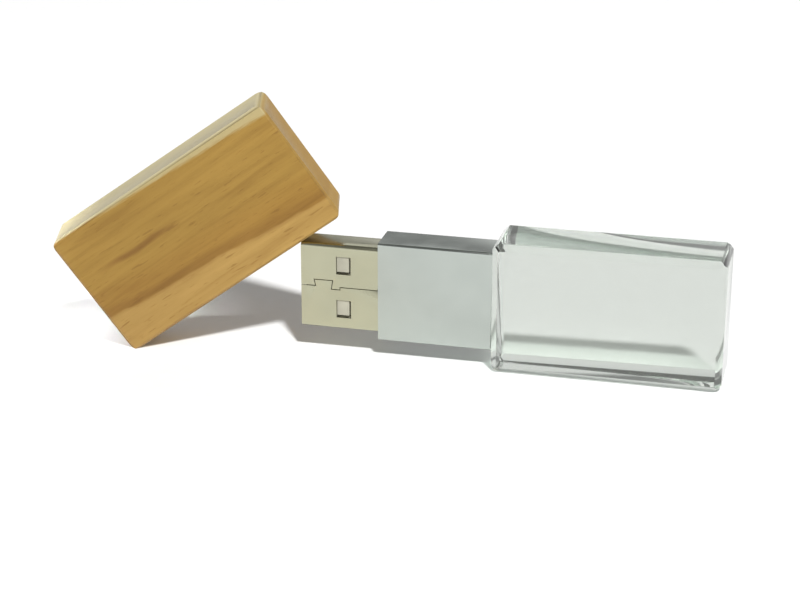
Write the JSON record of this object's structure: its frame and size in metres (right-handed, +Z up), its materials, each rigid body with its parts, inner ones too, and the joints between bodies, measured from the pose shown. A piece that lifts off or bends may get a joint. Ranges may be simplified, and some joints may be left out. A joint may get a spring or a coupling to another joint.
{
  "type": "usb flash drive",
  "caption": "Flash drive with a steel plug, a metal sleeve, a clear crystal block and a wooden pull-off cap that leans on the plug.",
  "frame": {"origin": "middle of the crystal block's bottom side, on the surface that the drive stands on", "axes": "+X along the drive from the plug to the crystal, +Y across its thickness, away from the seam side of the plug, +Z up, across its width"},
  "size_m": [0.0909, 0.0165, 0.0342],
  "materials": {
    "crystal": "polished clear block with a faint green-grey tint",
    "bond": "clear cured adhesive",
    "window": "clear acrylic",
    "sleeve_metal": "satin polished, light grey",
    "plug_steel": "nickel plated sheet, warm grey",
    "plug_plastic": "moulded, off-white",
    "contact_gold": "gold plated",
    "board_green": "green solder mask",
    "chip_black": "moulded epoxy",
    "can_metal": "small metal lid",
    "light_white": "white package with a pale yellow lens",
    "ceramic_dark": "black film on ceramic",
    "ceramic_tan": "tan ceramic",
    "solder": "bright solder",
    "carrier_white": "moulded, white",
    "cap_wood": "oiled golden brown wood, grain along the length",
    "insert_plastic": "moulded, black"
  },
  "bodies": {
    "drive": {"crystal_block": "crystal", "bond_film": "bond", "metal_sleeve": "sleeve_metal", "light_window": "window", "plug_shell": "plug_steel", "plug_insulator": "plug_plastic", "contact_power": "contact_gold", "contact_data_minus": "contact_gold", "contact_data_plus": "contact_gold", "contact_ground": "contact_gold", "circuit_board": "board_green", "memory_chip": "chip_black", "controller_chip": "chip_black", "timing_crystal": "can_metal", "regulator": "chip_black", "edge_lights": "light_white", "resistors": "ceramic_dark", "capacitors": "ceramic_tan", "solder_joints": "solder", "carrier_upper": "carrier_white", "carrier_lower": "carrier_white"},
    "cap": {"cap_body": "cap_wood", "cap_insert": "insert_plastic"}
  },
  "joints": [
    {"name": "cap_pull", "type": "slide", "parent": "drive", "child": "cap", "axis": [-1, 0, 0], "range_m": [0, 0.0264]}
  ]
}
